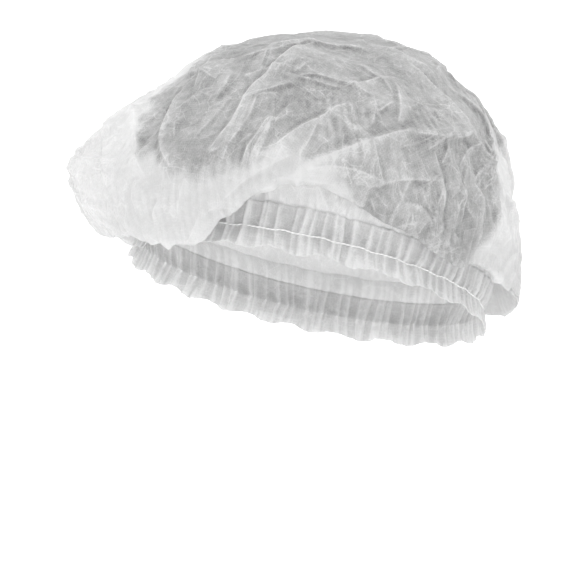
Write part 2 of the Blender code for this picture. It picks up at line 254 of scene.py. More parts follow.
@dataclass
class Pleats:
    """The gathers: how far the cloth stands off the ring at any azimuth and height.

    Heights are measured up from the elastic, in metres. Fine pinched ridges rise at the
    elastic, merge into flutes towards the frill's edge, and fade into puffs higher up.
    """

    count: int = 104
    seed: int = 11
    frill_depth: float = 11.0 * MM
    gather_height: float = 12.0 * MM
    frill_flare: float = 3.0 * MM
    gather_flare: float = 2.0 * MM
    samples: int = 7200
    fine: np.ndarray = field(init=False)
    flutes: np.ndarray = field(init=False)
    puffs: np.ndarray = field(init=False)

    def __post_init__(self) -> None:
        """Lay out the ridges, the flutes and the puffs round the ring."""
        draw = np.random.default_rng(self.seed)
        self.fine = self.pinched(draw, self.count, 0.15, 0.36, 0.42)
        self.flutes = self.pinched(draw, self.count // 2, 0.17, 0.32, 0.36)
        self.puffs = self.pinched(draw, 36, 0.42, 0.30)

    def pinched(
        self, draw: np.random.Generator, count: int, width: float, spread: float, tail: float = 0.0
    ) -> np.ndarray:
        """One round of uneven ridges, sampled evenly in azimuth.

        Args:
            draw: Source of the unevenness.
            count: Number of ridges in the round.
            width: Half width of a ridge, as a share of the pitch.
            spread: How uneven the places are, as a share of the pitch.
            tail: How far a ridge that lies over trails on one side, as a share of the pitch.

        Returns:
            Heights from 0 to about 1, one for each sample.
        """
        pitch = self.samples / count
        places = (np.arange(count) + draw.uniform(-spread, spread, count)) * pitch
        heights = draw.uniform(0.55, 1.0, count)
        widths = pitch * width * draw.uniform(0.75, 1.3, count)
        at = np.arange(self.samples)[:, None]
        off = (at - places[None, :] + self.samples / 2) % self.samples - self.samples / 2
        ridges = np.exp(-((off / widths) ** 2))
        if tail:
            side = np.where(draw.uniform(size=count) < 0.78, 1.0, -1.0)
            trails = pitch * tail * draw.uniform(0.6, 1.3, count)
            ridges = np.where(off * side > 0, np.exp(-np.abs(off) / trails), ridges)
        return (heights * ridges).max(axis=1)

    def read(self, table: np.ndarray, azimuth: np.ndarray) -> np.ndarray:
        """Look a round of ridges up at any azimuth in radians."""
        at = (azimuth / math.tau % 1.0) * self.samples
        low = np.floor(at).astype(int) % self.samples
        share = at - np.floor(at)
        return table[low] * (1 - share) + table[(low + 1) % self.samples] * share

    def lean(self, azimuth: np.ndarray, height: np.ndarray) -> np.ndarray:
        """Azimuths shifted so that the ridges lean this way and that off the elastic."""
        sway = np.sin(9 * azimuth + 0.6) + 0.7 * np.sin(23 * azimuth + 2.0)
        tilt = np.sin(7 * azimuth + 1.9) + 0.8 * np.sin(19 * azimuth)
        below = np.clip(-height / self.frill_depth, 0.0, 1.0)
        return azimuth + 0.014 * sway * below + 0.012 * tilt * np.clip(height / self.gather_height, 0.0, 1.3)

    def stand_off(self, azimuth: np.ndarray, height: np.ndarray) -> np.ndarray:
        """How far the cloth stands off the ring.

        Args:
            azimuth: Azimuths in radians.
            height: Heights above the elastic, in metres.

        Returns:
            Distances in metres.
        """
        leaned = self.lean(azimuth, height)
        below = np.clip(-height / self.frill_depth, 0.0, 1.0)
        above = np.clip(height / self.gather_height, 0.0, 1.0)
        beyond = np.clip(height / self.gather_height - 1.0, 0.0, None)
        pinch = 0.35 + 0.65 * np.clip(np.abs(height) / (3.0 * MM), 0.0, 1.0)
        fine_depth = 2.5 * MM * pinch * (1 - 0.5 * below) * (1 - 0.35 * above) * np.exp(-2.0 * beyond)
        flute_depth = 2.0 * MM * below**0.8
        puff_depth = 1.6 * MM * above**2 * np.exp(-0.5 * beyond)
        flare = self.frill_flare * below**2 + self.gather_flare * above
        return (
            flare
            - 1.3 * MM
            + fine_depth * self.read(self.fine, leaned)
            + flute_depth * self.read(self.flutes, leaned)
            + puff_depth * self.read(self.puffs, azimuth)
        )


class MeshMaker:
    """Turns grids of points into finished mesh objects."""

    @staticmethod
    def closed_grid(name: str, rows: np.ndarray, pole: np.ndarray | None = None) -> bpy.types.Object:
        """Make an object from rings of points, joined ring to ring.

        Args:
            name: Name of the object.
            rows: Rings of points, from the lowest ring up, each anticlockwise from above.
            pole: Point that closes the last ring, or None for an open end.

        Returns:
            The linked object, shaded smooth.
        """
        count, around = rows.shape[:2]
        points = rows.reshape(-1, 3)
        column = np.arange(around)
        after = (column + 1) % around
        faces = []
        for row in range(count - 1):
            low, high = row * around, (row + 1) * around
            ring = np.stack((low + column, low + after, high + after, high + column), axis=1)
            faces.extend(ring.tolist())
        if pole is not None:
            points = np.vstack((points, pole[None, :]))
            last = (count - 1) * around
            fan = np.stack((last + column, last + after, np.full(around, count * around)), axis=1)
            faces.extend(fan.tolist())
        mesh = bpy.data.meshes.new(name)
        mesh.from_pydata(points.tolist(), [], faces)
        mesh.shade_smooth()
        mesh.update()
        made = bpy.data.objects.new(name, mesh)
        bpy.context.scene.collection.objects.link(made)
        return made

    @staticmethod
    def point_values(piece: bpy.types.Object, name: str, values: np.ndarray) -> None:
        """Store one number for each point of a piece's mesh.

        Args:
            piece: The piece.
            name: Name of the attribute.
            values: One value for each point.
        """
        layer = piece.data.attributes.new(name, "FLOAT", "POINT")
        layer.data.foreach_set("value", np.ascontiguousarray(values, dtype=np.float32))

    @staticmethod
    def unwrap(piece: bpy.types.Object, places: np.ndarray) -> None:
        """Give a piece the UV map that its cloth pattern follows.

        Args:
            piece: The piece.
            places: One pair of metres over the flat sheet for each point.
        """
        mesh = piece.data
        layer = mesh.uv_layers.new(name="cloth")
        corners = np.empty(len(mesh.loops), dtype=np.int32)
        mesh.loops.foreach_get("vertex_index", corners)
        layer.data.foreach_set("uv", places[corners].astype(np.float32).ravel())


@dataclass(frozen=True)
class LaidNet:
    """What a net of creases gives each point of the sheet.

    lift is the point's lift. side is its signed distance from the nearest crease, near is
    the same unsigned, and fold is how sharply the sheet bends there, positive on a ridge.
    facet is a number from 0 to 1 that is the same all over one facet.
    """

    lift: np.ndarray
    side: np.ndarray
    near: np.ndarray
    fold: np.ndarray
    facet: np.ndarray


@dataclass
class CrumpleNet:
    """Flat facets that meet in sharp creases, laid out at random over the flat sheet."""

    reach: float
    spacing: float
    height: float
    seed: int
    corners: list = field(init=False, default_factory=list)
    heights: list = field(init=False, default_factory=list)

    def __post_init__(self) -> None:
        """Place the net's corners and their heights."""
        draw = np.random.default_rng(self.seed)
        placed = np.full((1, 2), 9.0)
        tries = int(9 * math.pi * (self.reach / self.spacing) ** 2)
        radius = (self.reach + self.spacing) * np.sqrt(draw.uniform(0.0, 1.0, tries))
        turn = draw.uniform(0.0, math.tau, tries)
        room = self.spacing * draw.uniform(0.75, 1.1, tries)
        for point, gap in zip(np.stack((radius * np.cos(turn), radius * np.sin(turn)), axis=1), room):
            if np.min(np.sum((placed - point) ** 2, axis=1)) < gap * gap:
                continue
            placed = np.vstack((placed, point))
            self.corners.append(point)
            self.heights.append(draw.normal(0.0, 0.6) * self.height)
        rim = math.tau * np.arange(60) / 60
        for point in np.stack((np.cos(rim), np.sin(rim)), axis=1) * (self.reach + 3 * self.spacing):
            self.corners.append(point)
            self.heights.append(0.0)

    def lay(self, spread: np.ndarray) -> LaidNet:
        """Read the net at points of the flat sheet.

        Args:
            spread: Points on the flat sheet.

        Returns:
            The net's values at each point.
        """
        verts, _, faces, origin, _, _ = geometry.delaunay_2d_cdt(
            [Vector(corner) for corner in self.corners], [], [], 0, 1e-7
        )
        places = np.array([tuple(vert) for vert in verts])
        rises = np.array([self.heights[ids[0]] for ids in origin])
        faces = np.array([face for face in faces if len(face) == 3])

        base, second, third = places[faces[:, 0]], places[faces[:, 1]], places[faces[:, 2]]
        ahead, beside = second - base, third - base
        area = ahead[:, 0] * beside[:, 1] - ahead[:, 1] * beside[:, 0]
        rise_a = rises[faces[:, 1]] - rises[faces[:, 0]]
        rise_b = rises[faces[:, 2]] - rises[faces[:, 0]]
        slope_x = (rise_a * beside[:, 1] - rise_b * ahead[:, 1]) / area
        slope_y = (rise_b * ahead[:, 0] - rise_a * beside[:, 0]) / area
        slopes = np.stack((slope_x, slope_y), axis=1)

        owners = {}
        for index, face in enumerate(faces):
            for turn in range(3):
                low, high = sorted((face[turn], face[(turn + 1) % 3]))
                owners.setdefault((low, high), []).append(index)
        bends = {}
        middles = places[faces].mean(axis=1)
        for (low, high), pair in owners.items():
            if len(pair) < 2:
                continue
            run = places[high] - places[low]
            across = np.array((-run[1], run[0])) / max(float(np.linalg.norm(run)), 1e-9)
            if (middles[pair[0]] - places[low]) @ across < 0:
                across = -across
            bends[(low, high)] = float((slopes[pair[1]] - slopes[pair[0]]) @ across)

        draw = np.random.default_rng(self.seed + 50)
        shades = draw.uniform(0.0, 1.0, len(faces))
        laid = {name: np.zeros(len(spread)) for name in ("lift", "side", "fold", "facet")}
        near = np.full(len(spread), 1.0)
        order = np.argsort(spread[:, 0])
        ranked = spread[order, 0]
        for index, face in enumerate(faces):
            corners = places[face]
            low, high = corners.min(axis=0), corners.max(axis=0)
            first, last = np.searchsorted(ranked, (low[0], high[0]))
            found = order[first:last]
            found = found[(spread[found, 1] >= low[1]) & (spread[found, 1] <= high[1])]
            if not len(found):
                continue
            gaps, sides = [], []
            for turn in range(3):
                start, end = face[turn], face[(turn + 1) % 3]
                run = places[end] - places[start]
                inward = np.array((-run[1], run[0])) / max(float(np.linalg.norm(run)), 1e-12)
                gaps.append((spread[found] - places[start]) @ inward)
                sides.append((tuple(sorted((start, end))), 1.0 if start < end else -1.0))
            gaps = np.stack(gaps, axis=1)
            within = np.all(gaps >= -1e-9, axis=1)
            found, gaps = found[within], gaps[within]
            if not len(found):
                continue
            laid["lift"][found] = rises[face[0]] + (spread[found] - corners[0]) @ slopes[index]
            laid["facet"][found] = shades[index]
            strengths = np.array([bends.get(key, 0.0) for key, _ in sides])
            signs = np.array([sign for _, sign in sides])
            weighed = np.where(np.abs(strengths) > 0.04, gaps, 1.0)
            nearest = np.argmin(weighed, axis=1)
            near[found] = weighed[np.arange(len(found)), nearest]
            laid["side"][found] = near[found] * signs[nearest]
            laid["fold"][found] = strengths[nearest]
        return LaidNet(near=near, **laid)


@dataclass(frozen=True)
class LaidCreases:
    """What the creases give each point of the sheet.

    lift is the point's lift. side is its signed distance from the nearest crease, near is
    the same unsigned, and fold is how strong that crease is. soft is how far the doubled
    cloth beside a crease still covers, and shade is how deep the point lies in its lee.
    """

    lift: np.ndarray
    side: np.ndarray
    near: np.ndarray
    fold: np.ndarray
    soft: np.ndarray
    shade: np.ndarray


@dataclass
class CreaseLayer:
    """Lays leaning creases over the sheet: gentle on one side and steep on the other."""

    hung: np.ndarray
    flat: np.ndarray
    crown_height: float
    seed: int
    small_creases: int = 620
    bunched_creases: int = 150
    step: float = 2.5 * MM

    def flat_point(self, azimuth: float, level: float) -> np.ndarray:
        """Point of the flat sheet at an azimuth in degrees and a level of the crown."""
        around = self.hung.shape[1]
        column = int(round(azimuth / 360 * around)) % around
        heights = self.hung[:, column, 2]
        below = np.nonzero(heights < level * self.crown_height)[0]
        row = int(below[-1]) + 1 if len(below) else int(np.argmin(heights))
        return self.flat[min(row, len(heights) - 1), column]

    def hung_points(self, flat_points: np.ndarray) -> np.ndarray:
        """Where points of the flat sheet lie as the cap hangs."""
        rows, around = self.hung.shape[:2]
        turn = np.arctan2(flat_points[:, 1], flat_points[:, 0]) / math.tau % 1.0 * around
        radius = np.linalg.norm(flat_points, axis=1)
        low = np.floor(turn).astype(int) % around
        share = (turn - np.floor(turn))[:, None]
        found = []
        for column in (low, (low + 1) % around):
            outer = np.linalg.norm(self.flat[0, column], axis=1)
            gap = outer / rows
            at = np.clip((outer - radius) / gap, 0.0, rows - 1.001)
            row = np.floor(at).astype(int)
            rest = (at - row)[:, None]
            found.append(self.hung[row, column] * (1 - rest) + self.hung[row + 1, column] * rest)
        return found[0] * (1 - share) + found[1] * share

    def smooth_path(self, corners: np.ndarray) -> np.ndarray:
        """Points a step apart on a smooth curve through a path's corners."""
        ends = (2 * corners[:1] - corners[1:2], 2 * corners[-1:] - corners[-2:-1])
        through = np.vstack((ends[0], corners, ends[1]))
        dense = []
        for index in range(1, len(through) - 2):
            before, start, end, after = through[index - 1 : index + 3]
            for share in np.linspace(0.0, 1.0, 12, endpoint=False):
                dense.append(curve_point(before, start, end, after, share))
        dense = np.vstack((np.array(dense), corners[-1:]))
        run = np.concatenate(((0.0,), np.cumsum(np.linalg.norm(np.diff(dense, axis=0), axis=1))))
        wanted = np.linspace(0.0, run[-1], max(4, int(run[-1] / self.step)))
        return np.stack([np.interp(wanted, run, dense[:, axis]) for axis in range(2)], axis=1)

    def small_paths(self) -> list:
        """Short curved creases scattered over the sheet, each with its own size.

        Returns:
            Pairs of a crease and its path's points on the flat sheet.
        """
        draw = np.random.default_rng(self.seed)
        reach = float(np.linalg.norm(self.flat[0], axis=1).mean())
        made = []
        for number in range(self.small_creases + self.bunched_creases):
            radius = reach * math.sqrt(draw.uniform(0.02, 0.86))
            turn = draw.uniform(0.0, math.tau)
            if number >= self.small_creases:
                radius = reach * draw.uniform(0.48, 0.92)
                turn = math.radians(draw.uniform(44.0, 108.0))
            outward = (radius / reach) ** 2
            heading = turn + draw.normal(0.0, 1.6 * (1.0 - 0.75 * outward))
            length = draw.uniform(9.0, 40.0) * MM
            bend = draw.normal(0.0, 0.35)
            points = [np.array((radius * math.cos(turn), radius * math.sin(turn)))]
            for _ in range(4):
                points.append(points[-1] + np.array((math.cos(heading), math.sin(heading))) * length / 4)
                heading += bend / 4 + draw.normal(0.0, 0.2)
            height, width = draw.uniform(0.4, 1.7), draw.uniform(0.9, 2.0)
            crease = Crease(height, width, LEFT if draw.uniform() < 0.5 else RIGHT, ())
            points = np.array(points)
            if np.linalg.norm(points, axis=1).max() < reach - 16 * MM:
                made.append((crease, self.smooth_path(points)))
        return made

    @staticmethod
    def nearest_on(points: np.ndarray, path: np.ndarray) -> tuple[np.ndarray, np.ndarray, np.ndarray]:
        """Distance of each point from a path, how far along that is, and on which piece.

        Args:
            points: Points of the sheet.
            path: Points of the path.

        Returns:
            Distances, shares along the path from 0 to 1, and the pieces' numbers.
        """
        best = np.full(len(points), np.inf)
        share_at = np.zeros(len(points))
        piece_at = np.zeros(len(points), dtype=int)
        pieces = len(path) - 1
        for index in range(pieces):
            start, along = path[index], path[index + 1] - path[index]
            size = max(float(along @ along), 1e-12)
            share = np.clip((points - start) @ along / size, 0.0, 1.0)
            off = np.linalg.norm(points - start - share[:, None] * along, axis=1)
            closer = off < best
            best[closer] = off[closer]
            share_at[closer] = (index + share[closer]) / pieces
            piece_at[closer] = index
        return best, share_at, piece_at

    def lay(self) -> LaidCreases:
        """Lay the chosen creases and the small ones over the sheet.

        Returns:
            The creases' values at each point.
        """
        hung = self.hung.reshape(-1, 3)
        flat = self.flat.reshape(-1, 2)
        laid = {name: np.zeros(len(flat)) for name in ("lift", "side", "fold", "soft", "shade")}
        near = np.full(len(flat), 1.0)
        chosen = []
        for crease in CREASES:
            corners = np.array([self.flat_point(azimuth, level) for azimuth, level in crease.path])
            chosen.append((crease, self.smooth_path(corners)))
        for crease, path in chosen + self.small_paths():
            width = crease.width * MM
            margin = 12 * width
            close = np.all((flat > path.min(0) - margin) & (flat < path.max(0) + margin), axis=1)
            index = np.nonzero(close)[0]
            if not len(index):
                continue
            off, share, piece = self.nearest_on(hung[index], self.hung_points(path))
            along = path[piece + 1] - path[piece]
            away = flat[index] - path[piece]
            left = np.where(along[:, 0] * away[:, 1] - along[:, 1] * away[:, 0] > 0, 1.0, -1.0)
            taper = ease(np.minimum(share, 1 - share) * 4)
            strength = taper * min(1.0, crease.height / 2.8)
            gentle = left * crease.gentle.value > 0
            fall = np.where(gentle, 2.4 * width, 0.75 * width)
            laid["lift"][index] += crease.height * MM * taper * np.exp(-off / fall)
            cover = strength * np.exp(-off / np.where(gentle, 2.2 * width, 0.3 * width))
            laid["soft"][index] = np.maximum(laid["soft"][index], cover)
            lee = strength * np.where(gentle, 0.0, np.exp(-(((off - width) / width) ** 2)))
            laid["shade"][index] = np.maximum(laid["shade"][index], lee)
            closer = (off < near[index]) & (strength > 0.04)
            chosen_points = index[closer]
            near[chosen_points] = off[closer]
            laid["side"][chosen_points] = (off * left)[closer]
            laid["fold"][chosen_points] = strength[closer]
        return LaidCreases(near=near, **laid)


@dataclass
class CrownSheet:
    """The slack sheet of the crown, from the gathers' top edge to the top."""

    ring: ElasticRing
    pleats: Pleats
    around: int = 640
    rows: int = 152
    height: float = 0.119
    set_back: float = 0.004
    collar_height: float = 2.0 * MM
    lobe_reach: float = 0.035
    lobe_middle: float = -72.0
    overhang_drop: float = 0.024
    shoulder_ratio: float = 0.66
    dome_rim_ratio: float = 0.87
    dome_points: tuple = ((0.65, 0.905), (0.34, 0.98))
    steps: int = 22
    crimps: int = 150
    rounding: int = 38
    slack: float = 1.0 * MM
    seed: int = 4
    hem_edge: np.ndarray | None = None

    def column(self, azimuth: np.ndarray, name: str) -> np.ndarray:
        """One column of the drape table on a smooth closed curve through its rows.

        Args:
            azimuth: Azimuths in radians.
            name: The column's name.

        Returns:
            One value for each azimuth.
        """
        places = np.array([drape.azimuth for drape in DRAPES], dtype=float)
        values = np.array([getattr(drape, name) for drape in DRAPES], dtype=float)
        places = np.concatenate((places[-2:] - 360, places, places[:2] + 360))
        values = np.concatenate((values[-2:], values, values[:2]))
        slopes = np.gradient(values, places)
        slopes[1:-1] = (values[2:] - values[:-2]) / (places[2:] - places[:-2])
        turned = (np.degrees(azimuth) - DRAPES[0].azimuth) % 360 + DRAPES[0].azimuth
        row = np.clip(np.searchsorted(places, turned, side="right") - 1, 1, len(places) - 3)
        span = places[row + 1] - places[row]
        share = (turned - places[row]) / span
        rise = ease(share)
        return (
            values[row] * (1 - rise)
            + values[row + 1] * rise
            + slopes[row] * span * share * (1 - share) ** 2
            - slopes[row + 1] * span * share**2 * (1 - share)
        )

    def controls(self, azimuth: np.ndarray) -> list[np.ndarray]:
        """Control points of the sections, from the gathers to the centre of the crown.

        Args:
            azimuth: Azimuths in radians.

        Returns:
            A list of arrays, each with one point for each azimuth.
        """
        start = (
            self.ring.point(azimuth)
            + self.ring.up() * self.pleats.gather_height
            + self.ring.out(azimuth) * self.pleats.gather_flare
        )
        collar = start + self.ring.up() * self.collar_height
        axis = np.array((0.0, self.set_back, 0.0))
        flat = start * (1.0, 1.0, 0.0) - axis
        reach = np.linalg.norm(flat, axis=-1)
        out = flat / reach[:, None]

        def placed(distance: np.ndarray, height: np.ndarray) -> np.ndarray:
            """A point of each section at a distance from the axis and a height."""
            point = axis + out * distance[:, None]
            point[:, 2] = height
            return point

        tuck = collar[:, 2] + self.column(azimuth, "tuck") * self.overhang_drop
        lip = collar[:, 2] + self.column(azimuth, "lip") * self.overhang_drop
        level = self.column(azimuth, "level") * self.height
        crest = self.column(azimuth, "crest") * self.height
        shoulder = np.full_like(reach, self.shoulder_ratio * self.height)
        points = [
            start,
            collar,
            placed(reach + self.column(azimuth, "under") * self.lobe_reach, tuck),
            placed(reach + self.column(azimuth, "lip_out") * self.lobe_reach, lip),
            placed(reach + self.column(azimuth, "bulge") * self.lobe_reach, level),
            placed(reach + self.column(azimuth, "shoulder") * self.lobe_reach, shoulder),
            placed(reach * self.dome_rim_ratio, crest),
        ]
        for share, rise in self.dome_points:
            points.append(placed(reach * share, np.full_like(reach, rise * self.height)))
        points.append(placed(reach * 0.0, np.full_like(reach, self.height)))
        return points

    def smooth_grid(self, azimuth: np.ndarray) -> tuple[np.ndarray, np.ndarray]:
        """The sheet before it is creased, as rows of points evenly spaced up each section.

        Args:
            azimuth: Azimuths in radians.

        Returns:
            Points by row and azimuth, and their distances up the section from the hem.
        """
        controls = self.controls(azimuth)
        mirrored = 2 * controls[-1] - controls[-2]
        mirrored[:, 2] = controls[-2][:, 2]
        through = controls + [mirrored]
        dense = [controls[0]]
        for index in range(len(controls) - 1):
            before = through[max(index - 1, 0)]
            start, end, after = through[index], through[index + 1], through[index + 2]
            for step in range(1, self.steps + 1):
                share = step / self.steps
                dense.append(curve_point(before, start, end, after, share))
        line = np.stack(dense)
        gaps = np.linalg.norm(np.diff(line, axis=0), axis=2)
        run = np.vstack((np.zeros(len(azimuth)), np.cumsum(gaps, axis=0)))
        shares = np.linspace(0.0, 1.0, self.rows + 1)[:-1]
        grid = np.empty((self.rows, len(azimuth), 3))
        lengths = np.empty((self.rows, len(azimuth)))
        for column in range(len(azimuth)):
            wanted = shares * run[-1, column]
            lengths[:, column] = wanted
            for axis in range(3):
                grid[:, column, axis] = np.interp(wanted, run[:, column], line[:, column, axis])
        return grid, lengths

    def round_off(self, grid: np.ndarray, azimuth: np.ndarray) -> None:
        """Round the sections off above the lip, so that no bulge has an edge.

        Args:
            grid: The sheet's points, changed in place.
            azimuth: Azimuths of the grid's columns, in radians.
        """
        lip = self.controls(azimuth)[3][:, 2]
        floor = np.maximum(lip + 3 * MM, grid[0, :, 2] - 4 * MM)
        over = np.clip((grid[:, :, 2] - floor) / (20 * MM), 0.0, 1.0)[1:-1, :, None]
        inner = np.arange(len(grid))[:, None] <= self.lip_rows(grid)
        over = np.where(inner[1:-1, :, None], 0.0, over)
        for _ in range(self.rounding):
            middle = 0.25 * grid[:-2] + 0.5 * grid[1:-1] + 0.25 * grid[2:]
            grid[1:-1] += over * (middle - grid[1:-1])

    @staticmethod
    def lip_rows(grid: np.ndarray) -> np.ndarray:
        """The row of each section at which its overhang is lowest."""
        return np.argmin(grid[6:70, :, 2], axis=0) + 6

    @staticmethod
    def normals(grid: np.ndarray) -> np.ndarray:
        """Unit normals of a closed grid of points, pointing out of the cap."""
        along = np.roll(grid, -1, axis=1) - np.roll(grid, 1, axis=1)
        up = np.gradient(grid, axis=0)
        out = np.cross(along, up)
        return out / np.maximum(np.linalg.norm(out, axis=2, keepdims=True), 1e-12)

    @staticmethod
    def swell(points: np.ndarray, scale: float, octaves: int) -> np.ndarray:
        """Soft uneven swelling of the sheet, about -1 to 1."""
        return np.array([noise.fractal(Vector(point) * scale, 0.8, 2.1, octaves) for point in points])

    def build(self) -> bpy.types.Object:
        """Build the creased sheet with its crease, closeness and cloth layers.

        Returns:
            The sheet's object.
        """
        azimuth = math.tau * np.arange(self.around) / self.around
        grid, lengths = self.smooth_grid(azimuth)
        turn = np.broadcast_to(azimuth, lengths.shape)
        last_gap = lengths[-1] - lengths[-2]
        radius = lengths[-1] + last_gap - lengths
        flat = np.stack((radius * np.cos(turn), radius * np.sin(turn)), axis=-1)
        spread = flat.reshape(-1, 2)
        reach = float(radius.max())

        self.round_off(grid, azimuth)
        creases = CreaseLayer(grid, flat, self.height, self.seed).lay()
        broad = CrumpleNet(reach, 24 * MM, 1.8 * MM, self.seed).lay(spread)
        fine = CrumpleNet(reach, 10 * MM, 0.7 * MM, self.seed + 1).lay(spread)
        lift = creases.lift + broad.lift + fine.lift
        lift += 1.9 * MM * self.swell(grid.reshape(-1, 3), 22.0, 3)
        loose = 1.0 - self.closeness(grid, azimuth, lengths).ravel()
        lift += 1.4 * MM * loose * self.swell(grid.reshape(-1, 3) + 5.0, 55.0, 3)
        lift = lift.reshape(self.rows, self.around) - self.slack

        above_elastic = lengths + self.pleats.gather_height
        pleated = self.pleats.stand_off(turn, above_elastic) - self.pleats.gather_flare
        free = ease((lengths - 2 * MM) / (14 * MM))
        free *= 0.35 + 0.65 * np.clip((lengths - 12 * MM) / (22 * MM), 0.0, 1.0)
        patch = self.swell(grid.reshape(-1, 3) + 3.0, 30.0, 2).reshape(self.rows, self.around)
        sway = 4.0 * np.sin(5 * turn) + 2.6 * patch + 1.1 * np.sin(lengths / (9 * MM))
        waved = np.sin(self.crimps * turn + sway)
        fade = np.clip(1.0 - lengths / 0.12, 0.0, 1.0) ** 0.6 * np.clip(0.35 + 1.8 * patch, 0.0, 1.0)
        crimp = waved * fade
        out = pleated * np.exp(-((lengths / (26 * MM)) ** 2)) + free * (lift + 0.35 * MM * crimp)
        points = grid + self.normals(grid) * out[:, :, None]

        pole = np.array((0.0, self.set_back, self.height + float(out[-1].mean())))
        crown = MeshMaker.closed_grid("crown_sheet", points, pole)
        runs_on = 6 * MM + 10 * MM * self.pleats.read(self.pleats.fine, azimuth * 0.37)
        ridges = self.pleats.read(self.pleats.fine, self.pleats.lean(turn, above_elastic))
        # The pleats run on into the crown here: pale where the cloth doubles, with the same painted shading
        # across each pleat.
        gathers = np.clip((ridges - 0.22) / 0.6, 0.0, 1.0) * np.exp(-((lengths / runs_on) ** 2))
        near_hem = np.exp(-((lengths / (10 * MM)) ** 2)).ravel()
        slack = np.clip((self.column(azimuth, "rest") - 0.12) / 0.32, 0.35, 1.0)
        fullness = (slack * np.exp(-((lengths / (48 * MM)) ** 2))).ravel()
        layers = {
            "crease_soft": (np.maximum(creases.soft, gathers.ravel()), 0.0),
            "crease_shade": (creases.shade, 0.0),
            "facet": (broad.facet * (1 - near_hem) + 0.5 * near_hem, 0.5),
            "crimp": (free * crimp, 0.0),
            "band": (near_hem, 0.0),
            "fullness": (fullness * (1 - near_hem) + 0.4 * near_hem, 0.0),
            "closeness": (self.closeness(grid, azimuth, lengths), 1.0),
            "sheer": (self.sheerness(grid, azimuth), 0.0),
        }
        for name, laid in (("crease", creases), ("fine", fine)):
            layers[f"{name}_side"] = (laid.side, 0.0)
            layers[f"{name}_near"] = (laid.near, 1.0)
            layers[f"{name}_fold"] = (laid.fold, 0.0)
        for name, (values, at_pole) in layers.items():
            MeshMaker.point_values(crown, name, np.append(values, at_pole))
        MeshMaker.unwrap(crown, np.vstack((spread, np.zeros((1, 2)))))
        self.hem_edge = points[0]
        return crown

    def sheerness(self, grid: np.ndarray, azimuth: np.ndarray) -> np.ndarray:
        """How thin the sheet looks, 0 to 1, where it is drawn out into the lobe.

        Args:
            grid: Points of the sheet before it is creased.
            azimuth: Azimuths of the grid's columns, in radians.

        Returns:
            One share for each point.
        """
        reach = np.linalg.norm(self.ring.point(azimuth)[:, :2], axis=1)
        beyond = np.linalg.norm(grid[:, :, :2], axis=2) - reach
        off_lobe = (np.degrees(azimuth) - self.lobe_middle + 180) % 360 - 180
        drawn = ease(np.where(off_lobe > 0, (62 - off_lobe) / 32, (40 + off_lobe) / 30))
        return drawn * np.clip((beyond - 10 * MM) / (15 * MM), 0.0, 1.0)

    def closeness(self, grid: np.ndarray, azimuth: np.ndarray, lengths: np.ndarray) -> np.ndarray:
        """How closely the sheet lies to the dome it is drawn over: 1 there, 0 where it hangs free.

        Args:
            grid: Points of the sheet before it is creased.
            azimuth: Azimuths of the grid's columns, in radians.
            lengths: Distances of the points up the section from the hem.

        Returns:
            One share for each point.
        """
        rest = self.column(azimuth, "rest") * self.height
        wander = 7 * MM * self.swell(grid.reshape(-1, 3) + 7.0, 38.0, 3).reshape(lengths.shape)
        round_back = np.clip((np.abs((np.degrees(azimuth) - 20 + 180) % 360 - 180) - 85) / 45, 0.0, 1.0)
        span = (14 + 56 * round_back) * MM
        over = ease((grid[:, :, 2] - rest + wander) / span + 0.5)
        seam = 0.75 * np.exp(-((lengths / (9 * MM)) ** 2))
        return np.maximum(over * (1 - 0.45 * round_back), seam)


